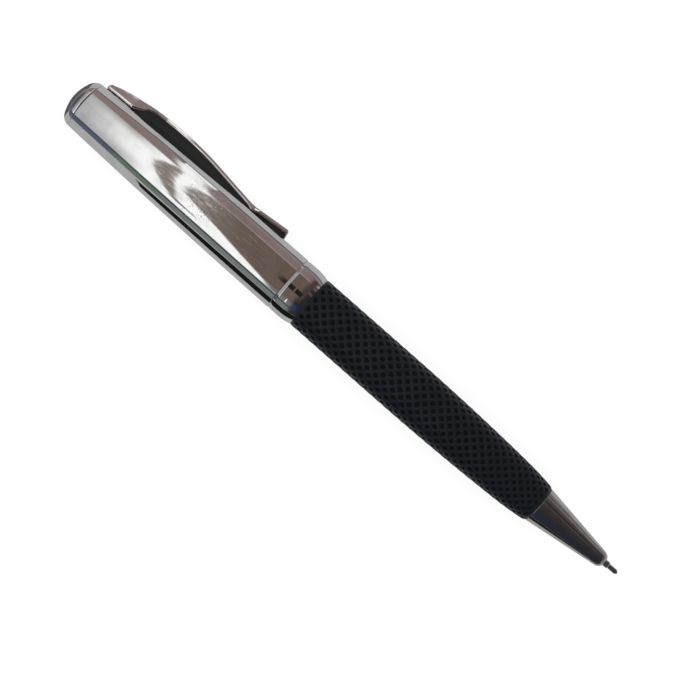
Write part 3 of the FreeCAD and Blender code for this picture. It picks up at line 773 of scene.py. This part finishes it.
bmesh.ops.bridge_loops(ferrule_mesh, edges=rim_edges)
ferrule = finished_object("eraser_cup", ferrule_mesh, "eraser", ["eraser_ferrule"])

# %% [markdown]
# ## Finishes
# Every finish below starts from the same place: the distance in millimetres from the crown and the axis,
# so that a scratch or a turning line can be given in real sizes. Polished metal shows little of its own
# colour. What tells chrome from steel and brass is how rough it is, what marks it carries and how even
# they are, so those are what each tree works out.

# %% Helpers for finishes
finishes = {}


def new_finish(slot, material=None, metallic=0.0):
    """A material with its shader, and its place in millimetres as a vector and as three values."""
    material = material or bpy.data.materials.new(slot)
    material.use_nodes = True
    material.node_tree.nodes.clear()
    made = Tree(material.node_tree)
    shader = made.node("ShaderNodeBsdfPrincipled", None, {"Metallic": metallic})
    output = made.node("ShaderNodeOutputMaterial")
    material.node_tree.links.new(shader.outputs[0], output.inputs["Surface"])
    place = made.out("ShaderNodeTexCoord", None, None, "Object")
    place = made.out("ShaderNodeVectorMath", {"operation": "SUBTRACT"}, {
        0: place,
        1: (crown, axis_y, axis_z),
    })
    place = made.out("ShaderNodeVectorMath", {"operation": "SCALE"}, {0: place, "Scale": 1.0 / MM})
    parts = made.node("ShaderNodeSeparateXYZ", None, {"Vector": place})
    finishes[slot] = material
    return made, shader, place, [Flow(parts.outputs[index]) for index in range(3)]


def feed_shader(made, shader, **values):
    """Links values to the shader, by its sockets' names with _ for a space."""
    for name, value in values.items():
        socket = shader.inputs[name.replace("_", " ")]
        if isinstance(value, Flow):
            made.tree.links.new(value.socket, socket)
        else:
            socket.default_value = value


def stretched(made, place, along, across):
    """The place squeezed by one factor along the pencil and another across it."""
    sockets = {0: place, 1: (along, across, across)}
    return made.out("ShaderNodeVectorMath", {"operation": "MULTIPLY"}, sockets)


def noise(made, place, scale, detail=2.0, roughness=0.5):
    """Soft noise from 0 to 1."""
    sockets = {"Vector": place, "Scale": scale, "Detail": detail, "Roughness": roughness}
    return made.out("ShaderNodeTexNoise", None, sockets)


def bumped(made, height, distance, strength=1.0):
    """A normal that a height, in millimetres when distance is one, stands up from."""
    sockets = {"Height": height, "Distance": distance * MM, "Strength": strength}
    return made.out("ShaderNodeBump", None, sockets)


print("finish helpers ready")

# %% [markdown]
# ## Chrome
# Chrome on a turned barrel is mirror-bright with three small faults. It waves by a few thousandths of a
# millimetre from polishing, it has hairline scratches from pockets, and where the hand twists the barrel
# it has fine pits. A pit scatters light, so it is made as a small spot of high roughness, which looks
# light where the mirror around it is dark.

# %% Chrome
made, shader, place, (station, across, height) = new_finish("chrome", metallic=1.0)
waves = noise(made, stretched(made, place, 0.08, 0.5), 1.0, 1.0)
film = noise(made, place, 0.35, 3.0)
pit_sizes = {"Vector": place, "Scale": 2.3, "Randomness": 1.0}
pits = made.out("ShaderNodeTexVoronoi", {"feature": "F1"}, pit_sizes)
cells = noise(made, place, 0.55, 4.0, 0.6)
worn = station.within(29.0, 36.0, 2.5) * cells.rises(0.40, 0.52) * height.rises(1.0, 3.5)
specks = (1.0 - pits.rises(0.20, 0.36)) * worn
hairs = noise(made, stretched(made, place, 0.15, 14.0), 1.0, 2.0)
hair = hairs.rises(0.68, 0.76) * 0.03
tone = made.blend(grey(0.80), grey(0.71, 0.01), film.rises(0.4, 0.75))
feed_shader(
    made, shader,
    Base_Color=tone,
    Roughness=(0.022 + film * 0.022 + hair + specks * 0.22).held(),
    Normal=bumped(made, waves, 0.005),
)
print("chrome has", len(made.tree.nodes), "nodes")

# %% [markdown]
# ## Steel, spring steel and brass
# The writing cone and the inner steel pieces keep the fine rings that a lathe tool leaves. The rings are
# noise squeezed so hard along the pencil that it only changes with the station. Spring steel is darker
# and has the drawn wire's dull skin, and brass takes a little tarnish in patches.

# %% Steel, spring steel and brass
made, shader, place, (station, across, height) = new_finish("steel", metallic=1.0)
rings = noise(made, stretched(made, place, 9.0, 0.02), 1.0, 3.0, 0.7)
film = noise(made, place, 0.6, 3.0)
tone = made.blend(grey(0.62), grey(0.52, 0.015), film.rises(0.35, 0.8))
feed_shader(
    made, shader,
    Base_Color=tone,
    Roughness=(0.07 + rings * 0.07 + film * 0.03).held(),
    Normal=bumped(made, rings, 0.0022),
)

made, shader, place, (station, across, height) = new_finish("spring_steel", metallic=1.0)
skin = noise(made, place, 2.5, 4.0, 0.6)
feed_shader(
    made, shader,
    Base_Color=made.blend(grey(0.36), (0.30, 0.27, 0.24), skin.rises(0.5, 0.7)),
    Roughness=(0.22 + skin * 0.16).held(),
    Normal=bumped(made, skin, 0.004),
)

made, shader, place, (station, across, height) = new_finish("brass", metallic=1.0)
rings = noise(made, stretched(made, place, 6.0, 0.05), 1.0, 3.0, 0.7)
tarnish = noise(made, place, 0.9, 4.0, 0.6)
feed_shader(
    made, shader,
    Base_Color=made.blend((0.78, 0.56, 0.24), (0.46, 0.30, 0.13), tarnish.rises(0.48, 0.72)),
    Roughness=(0.14 + rings * 0.12 + tarnish * 0.10).held(),
    Normal=bumped(made, rings, 0.004),
)
print("metal finishes:", sorted(finishes))

# %% [markdown]
# ## The moulded grip
# The grip's ridges are painted a lighter blue-grey, a painted sheen, and carry a satin coat, while the
# dimples are painted a darker black, a painted shade in the hollows. The depth stored by the node tree
# tells them apart. Everything also carries the mould's fine spark-eroded grain.

# %% The moulded grip
made, shader, place, (station, across, height) = new_finish("grip_plastic", grip_finish)
cup_depth = made.out("ShaderNodeAttribute", {"attribute_name": "cup"}, None, "Fac")
grain = noise(made, place, 7.0, 3.0, 0.6)
# slow noise that makes the ridges' painted sheen and their coat stronger in some patches than in others
uneven_sheen = noise(made, place, 0.22, 2.0)
ridge = ((1.0 - cup_depth.rises(0.10, 0.60)) * (0.60 + uneven_sheen * 0.6)).held()
# the lighter ridge colour is a painted sheen, and the darker dimple colour is a painted shade in the hollows
feed_shader(
    made, shader,
    Base_Color=made.blend((0.0042, 0.0052, 0.0072), (0.0080, 0.0108, 0.0165), ridge),
    Roughness=(0.55 - ridge * 0.15 + (grain - 0.5) * 0.12).held(),
    Specular_IOR_Level=0.12,
    Coat_Weight=ridge * 0.50,
    Coat_Roughness=0.34,
    Normal=bumped(made, grain, 0.006),
)
print("grip finish has", len(made.tree.nodes), "nodes")

# %% [markdown]
# ## Plastics, rubber, the eraser and the lead
# The inner plastics are plain injection mouldings: one even and slightly glossy, one waxy and pale, as a
# bearing bush is. The seal is matt black rubber. The eraser has crumbs and a smudge of graphite at its
# end, and its cup is thin drawn metal. The lead is pressed graphite with a soft grey shine.

# %% Plastics, rubber, the eraser and the lead


def moulded(slot, colour, shade, rough, grain_size, grain_depth):
    """An injection-moulded or rubber finish with a fine grain and slow changes of tone."""
    made, shader, place, parts = new_finish(slot)
    grain = noise(made, place, grain_size, 3.0, 0.6)
    slow = noise(made, place, 0.4, 2.0)
    feed_shader(
        made, shader,
        Base_Color=made.blend(colour, shade, slow.rises(0.35, 0.7)),
        Roughness=(rough + (grain - 0.5) * 0.15).held(),
        Normal=bumped(made, grain, grain_depth),
    )


moulded("mechanism_plastic", (0.030, 0.031, 0.034), (0.020, 0.021, 0.023), 0.38, 5.0, 0.006)
moulded("bush_plastic", (0.72, 0.70, 0.64), (0.66, 0.63, 0.56), 0.42, 4.0, 0.004)
moulded("seal_rubber", (0.014, 0.014, 0.015), (0.022, 0.022, 0.022), 0.72, 8.0, 0.012)

made, shader, place, (station, across, height) = new_finish("eraser_rubber")
crumbs = noise(made, place, 3.5, 4.0, 0.65)
smudge = (1.0 - station.rises(16.6, 18.2)) * crumbs.rises(0.35, 0.7)
feed_shader(
    made, shader,
    Base_Color=made.blend((0.82, 0.80, 0.77), (0.30, 0.30, 0.31), smudge * 0.7),
    Roughness=(0.78 + (crumbs - 0.5) * 0.2).held(),
    Normal=bumped(made, crumbs, 0.03),
)

made, shader, place, (station, across, height) = new_finish("ferrule_metal", metallic=1.0)
drawn = noise(made, stretched(made, place, 0.3, 5.0), 1.0, 3.0, 0.6)
feed_shader(
    made, shader,
    Base_Color=made.blend(grey(0.74), grey(0.60, 0.02), drawn.rises(0.4, 0.7)),
    Roughness=(0.16 + drawn * 0.14).held(),
    Normal=bumped(made, drawn, 0.004),
)

made, shader, place, (station, across, height) = new_finish("graphite", metallic=0.35)
flakes = noise(made, stretched(made, place, 2.0, 8.0), 1.0, 4.0, 0.7)
feed_shader(
    made, shader,
    Base_Color=made.blend(grey(0.045), grey(0.12), flakes.rises(0.4, 0.75)),
    Roughness=(0.34 + flakes * 0.2).held(),
    Normal=bumped(made, flakes, 0.01),
)
print("finishes:", sorted(finishes))

# %% [markdown]
# ## The return spring
# A small coil spring pushes the lead tube back, and it shortens as the leads are fed. The frame's coil has
# the right shape, so the new piece is a copy of it with its loose triangles joined.

# %% The return spring
SPRING_SEAT = 110.0
coil_mesh = bmesh.new()
coil_mesh.from_mesh(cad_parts["return_spring"].data)
bmesh.ops.remove_doubles(coil_mesh, verts=coil_mesh.verts, dist=1e-7)
coil_data = bpy.data.meshes.new("return_coil")
coil_mesh.to_mesh(coil_data)
coil_mesh.free()
coil_data.shade_smooth()
spring = bpy.data.objects.new("return_coil", coil_data)
bpy.context.scene.collection.objects.link(spring)
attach(spring, "lower")
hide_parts("return_spring")
coil_data.materials.append(finishes["spring_steel"])
spring_seat = on_pencil(SPRING_SEAT, 0.0, 0.0)
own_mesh(spring)

# %% [markdown]
# ## Dressing every piece
# The record says which material slot each piece of the frame takes. The new pieces take theirs from a list,
# and every piece of the frame that stays, which here is the whole inside of the pencil, has its plain
# colour swapped for the finish of its slot.

# %% Dressing
for piece, slot in {
    dome: "chrome",
    barrel: "chrome",
    ring: "chrome",
    clip: "chrome",
    cone: "steel",
    sleeve: "steel",
    lead: "graphite",
    eraser: "eraser_rubber",
    ferrule: "ferrule_metal",
}.items():
    piece.data.materials.clear()
    piece.data.materials.append(finishes[slot])
dressed = 0
for name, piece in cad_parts.items():
    for material_slot in piece.material_slots:
        plain = material_slot.material.name.split(".")[0]
        if plain in finishes:
            material_slot.material = finishes[plain]
            dressed += 1
print("dressed", dressed, "of", len(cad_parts), "frame pieces")

# %% [markdown]
# ## The table
# The pencil lies on a white table. The table glows a little, so that it stays white where the pencil
# shades it, and it reflects nothing. Cards lie flat on it, on both sides of the pencil and past the dome.
# Only mirrors see them: they draw the long dark lines along the sides of the chrome, as a real studio's
# cards do. A dark card right under the pencil, also seen only by mirrors, is a painted shadow under the
# pencil. One narrow dark card is seen directly: it is a painted shadow in the gap under the clip.

# %% The table and its cards


def flat_sheet(name, corners, height, material):
    """A level sheet through corners given in metres, which is no part of the pencil."""
    mesh = bpy.data.meshes.new(name)
    mesh.from_pydata([(x, y, height) for x, y in corners], [], [tuple(range(len(corners)))])
    mesh.materials.append(material)
    sheet = bpy.data.objects.new(name, mesh)
    bpy.context.scene.collection.objects.link(sheet)
    return sheet


def card_on_table(name, corners, material):
    """A card that lies on the table, with its corners measured from the pencil's axis."""
    return flat_sheet(name, [(x, y + axis_y) for x, y in corners], 0.0003, material)


def card_material(name, colour, glow, glow_seen_by_mirrors):
    """A matt white or grey sheet with a glow, which is weaker as a lamp and can be weaker in mirrors."""
    material = bpy.data.materials.new(name)
    material.use_nodes = True
    material.node_tree.nodes.clear()
    made = Tree(material.node_tree)
    matt = made.out("ShaderNodeBsdfDiffuse", None, {"Color": tuple(colour) + (1.0,)})
    mirrors = made.out("ShaderNodeLightPath", None, None, "Is Glossy Ray")
    lens = made.out("ShaderNodeLightPath", None, None, "Is Camera Ray")
    lamp = glow * 0.35
    strength = lamp + mirrors * (glow_seen_by_mirrors - lamp) + lens * (glow - lamp)
    light = made.out("ShaderNodeEmission", None, {"Strength": strength})
    total = made.node("ShaderNodeAddShader")
    material.node_tree.links.new(matt.socket, total.inputs[0])
    material.node_tree.links.new(light.socket, total.inputs[1])
    output = made.node("ShaderNodeOutputMaterial")
    material.node_tree.links.new(total.outputs[0], output.inputs["Surface"])
    return material


white = card_material("white_table", grey(0.22), 0.86, 0.29)
table = flat_sheet("table", [(-3.0, -3.0), (3.0, -3.0), (3.0, 3.0), (-3.0, 3.0)], 0.0, white)
dark = card_material("dark_card", grey(0.012), 0.0, 0.0)
# the dark paint of the two painted shadows, under the pencil and in the gap under the clip
gloom = card_material("gloom_card", grey(0.02), 0.012, 0.022)
pink = card_material("pink_card", (0.19, 0.145, 0.14), 0.0, 0.10)
bright = card_material("bright_card", grey(0.30), 0.0, 0.70)
shade = card_material("shade_card", grey(0.09), 0.0, 0.03)

# the dark strip runs along the pencil and wanders off beyond the dome's end
strip_near = [(0.16, 0.0287), (-0.0560, 0.0287), (-0.0660, 0.0417), (-0.0765, 0.0642), (-0.1055, 0.1428)]
strip_far = [(-0.3200, 0.900), (-0.0893, 0.1130), (-0.0700, 0.0579), (-0.0575, 0.0354)]
left_edge = [(-0.0500, -2.9), (-0.0500, -0.14), (-0.0600, -0.056), (-0.0508, -0.0195)]
gap_edge = [
    (-0.0120, 0.0050), (-0.0235, 0.0057), (-0.0300, 0.0064),
    (-0.0400, 0.0072), (-0.0550, 0.0066), (-0.0600, 0.0050),
]
card_shapes = {
    "left_card": (dark, left_edge + [(0.16, -0.0195), (0.16, -2.9)]),
    "edge_strip": (dark, strip_near + strip_far + [(0.16, 0.0354)]),
    "dome_side_card": (pink, strip_far + [(-0.0496, 0.0354), (-0.594, 2.9), (-0.95, 2.9)]),
    "bright_card": (bright, [(-0.0496, 0.0354), (-0.0408, 0.0354), (-0.514, 2.9), (-0.594, 2.9)]),
    "pink_card": (pink, [(-0.0408, 0.0354), (0.16, 0.0354), (0.16, 2.9), (-0.514, 2.9)]),
    "dome_end_card": (shade, [(-0.0700, -0.006), (-0.0700, 0.006), (-0.20, 0.12), (-0.20, -0.12)]),
    # two painted shadows: one under the pencil, seen by mirrors, and one in the gap under the clip, seen
    # directly
    "painted_under_shadow": (gloom, [(-0.0600, -0.0050), (-0.0120, -0.0050), (-0.0120, 0.0044), (-0.0600, 0.0044)]),
    "painted_gap_shadow": (gloom, [(-0.0600, 0.0044), (-0.0120, 0.0044)] + gap_edge),
}
cards = [card_on_table(name, corners, material) for name, (material, corners) in card_shapes.items()]
for card in cards:
    card.visible_camera = card.name == "painted_gap_shadow"
    card.visible_diffuse = False
    card.visible_shadow = False
print("table and cards:", table.name, [card.name for card in cards])

# %% [markdown]
# ## The room
# A polished tube shows the whole room as bands along its length. Which band lies where depends only on
# two numbers of the direction that a mirror looks in: how far it leans to one side of straight up, in
# degrees, and how far it leans along the pencil. So the room is painted by those two numbers: white soft
# boxes overhead, grey at the dome's end, a brown shelf past the middle and a dark doorway beyond the tip.
# Mirrors see this room. Everything else is lit by plain white, which is brightest overhead.

# %% The room
world = bpy.data.worlds.new("room")
bpy.context.scene.world = world
world.use_nodes = True
world.node_tree.nodes.clear()
made = Tree(world.node_tree)
direction = made.out("ShaderNodeTexCoord", None, None, "Generated")
parts = made.node("ShaderNodeSeparateXYZ", None, {"Vector": direction})
to_tip, to_clip, to_sky = [Flow(parts.outputs[index]) for index in range(3)]
wobble = made.out("ShaderNodeTexNoise", None, {"Vector": direction, "Scale": 5.0, "Detail": 2.0})
wobble = wobble - 0.5
lean = to_clip.maths("ARCTAN2", to_clip, to_sky) * (180.0 / math.pi) + wobble * 3.0
upright = (to_clip * to_clip + to_sky * to_sky) ** 0.5
along = to_tip / upright.maths("MAXIMUM", upright, 0.05) + wobble * 0.008

mark = along * 260.4 + 75.3
cell = made.out("ShaderNodeCombineXYZ", None, {"X": mark * 1.5, "Y": lean * 0.09})
fine = made.out("ShaderNodeTexNoise", None, {"Vector": cell, "Scale": 1.0, "Detail": 3.0})

# the dome's end and the white ceiling
low_light = (1.0 - lean.rises(-58.0, -8.0)) + lean.rises(24.0, 60.0)
room = made.blend((0.10, 0.10, 0.105), (0.40, 0.40, 0.40), along.rises(-1.20, -0.45))
room = made.blend(room, (0.46, 0.455, 0.455), along.rises(-0.32, -0.285))
dimmed = low_light * (1.0 - mark.rises(13.0, 21.0)) * 0.85
room = made.blend(room, (1.17, 1.17, 1.17), mark.rises(-4.0, 17.5) * (1.0 - dimmed))

# the pale fork: a brown arrowhead, a white gap and the brown shelf
arrow_start = 18.7 + 1.52 * ((lean - 12.0) / 25.0) ** 2.0
arrow_end = 24.4 + 0.67 * ((lean - 20.0) / 25.0) ** 2.0
arrow = (mark - arrow_start).rises(-0.25, 0.35) * (1.0 - (mark - arrow_end).rises(-0.25, 0.25))
arrow = arrow * lean.within(-49.0, 62.0, 3.0)
room = made.blend(room, (0.205, 0.160, 0.130), arrow * (0.96 - fine.rises(0.52, 0.68) * 0.5))
tail = lean.within(-48.0, -42.0, 1.5) * mark.within(26.0, 33.0, 1.5)
room = made.blend(room, (0.26, 0.22, 0.21), tail)
above = lean.maths("MAXIMUM", lean - 20.0, 0.0) / 43.0
below = lean.maths("MAXIMUM", 0.0 - lean, 0.0)
shelf = (mark - 27.4 - above * above * 7.2 - below * 0.46).rises(-0.4, 1.4)
shelf = shelf * (1.0 - lean.rises(60.0, 65.0))
shelf_tone = made.blend((0.215, 0.175, 0.155), (0.160, 0.118, 0.095), mark.rises(34.0, 44.0))
sparkle = fine.rises(0.50, 0.60) * mark.within(28.5, 34.5, 2.5)
sparkle = sparkle + fine.rises(0.60, 0.68) * mark.within(33.0, 48.0, 4.0) * 0.45
shelf_tone = made.blend(shelf_tone, (0.80, 0.78, 0.77), sparkle * 0.75)
room = made.blend(room, shelf_tone, shelf)
room = made.blend(room, (0.20, 0.18, 0.19), lean.within(-62.0, -46.0, 3.0) * mark.rises(49.5, 53.0))

# the pink wall on the clip's side, with a bright window in it
pink_wall = made.blend((0.275, 0.208, 0.200), (1.10, 1.09, 1.09), mark.within(24.6, 32.0, 1.2))
pink_wall = made.blend(pink_wall, (0.262, 0.190, 0.190), mark.rises(31.5, 37.0))
room = made.blend(room, pink_wall, lean.rises(56.0, 66.0))

# the grey wall on the other side, with a thin dark line over it
room = made.blend(room, (0.24, 0.25, 0.25), 1.0 - lean.rises(-64.0, -60.0))
left_wall = made.blend((0.105, 0.118, 0.19), (0.135, 0.205, 0.145), mark.rises(12.0, 15.0))
left_wall = made.blend(left_wall, (0.20, 0.225, 0.215), mark.rises(23.0, 29.0))
room = made.blend(room, left_wall, 1.0 - lean.rises(-71.5, -68.0))
room = made.blend(room, (0.040, 0.043, 0.052), lean.within(-69.5, -64.5, 1.0))
room = made.blend(room, (0.020, 0.022, 0.024), (1.0 - lean.rises(-93.0, -90.0)) * mark.rises(38.0, 44.0))

# the dark doorway beyond the tip, with a blue corner below and a brown one above
before_cone = 1.0 - along.rises(0.30, 0.40)
front = made.blend((0.030, 0.026, 0.028), (0.022, 0.026, 0.038), lean.within(-74.0, -24.0, 8.0))
for colour, share in (
    ((0.035, 0.048, 0.115), lean.within(-76.0, -44.0, 5.0) * before_cone),
    ((0.060, 0.040, 0.038), lean.within(-6.0, 18.0, 8.0) * (1.0 - along.rises(0.40, 0.46))),
    ((0.096, 0.080, 0.080), lean.within(22.0, 34.0, 5.0)),
    ((0.125, 0.100, 0.098), lean.within(50.0, 66.0, 6.0)),
    ((0.43, 0.385, 0.385), lean.within(70.0, 84.0, 4.0)),
    ((0.080, 0.056, 0.052), lean.rises(-40.0, -10.0) * before_cone),
):
    front = made.blend(front, colour, share)
room = made.blend(room, front, along.rises(-0.02, 0.22))

# a black bar across the seam of the ring
bar = lean.within(-9.0, 9.0, 2.0) * along.within(-0.086, 0.240, 0.003)
room = made.blend(room, (0.018, 0.016, 0.016), bar)
room = made.blend(room, (0.20, 0.19, 0.19), along.rises(0.9, 1.6))

mirrors = made.out("ShaderNodeLightPath", None, None, "Is Glossy Ray")
lens = made.out("ShaderNodeLightPath", None, None, "Is Camera Ray")
lamp = made.blend((0.34, 0.35, 0.37), (1.12, 1.12, 1.12), to_sky.rises(0.15, 0.95))
seen = made.blend(made.blend(lamp, room, mirrors), (1.0, 1.0, 1.0), lens)
glow = made.out("ShaderNodeBackground", None, {"Color": seen, "Strength": 1.0})
output = made.node("ShaderNodeOutputWorld")
world.node_tree.links.new(glow.socket, output.inputs["Surface"])
bpy.context.scene.view_settings.view_transform = "Standard"
print("the room has", len(world.node_tree.nodes), "nodes")
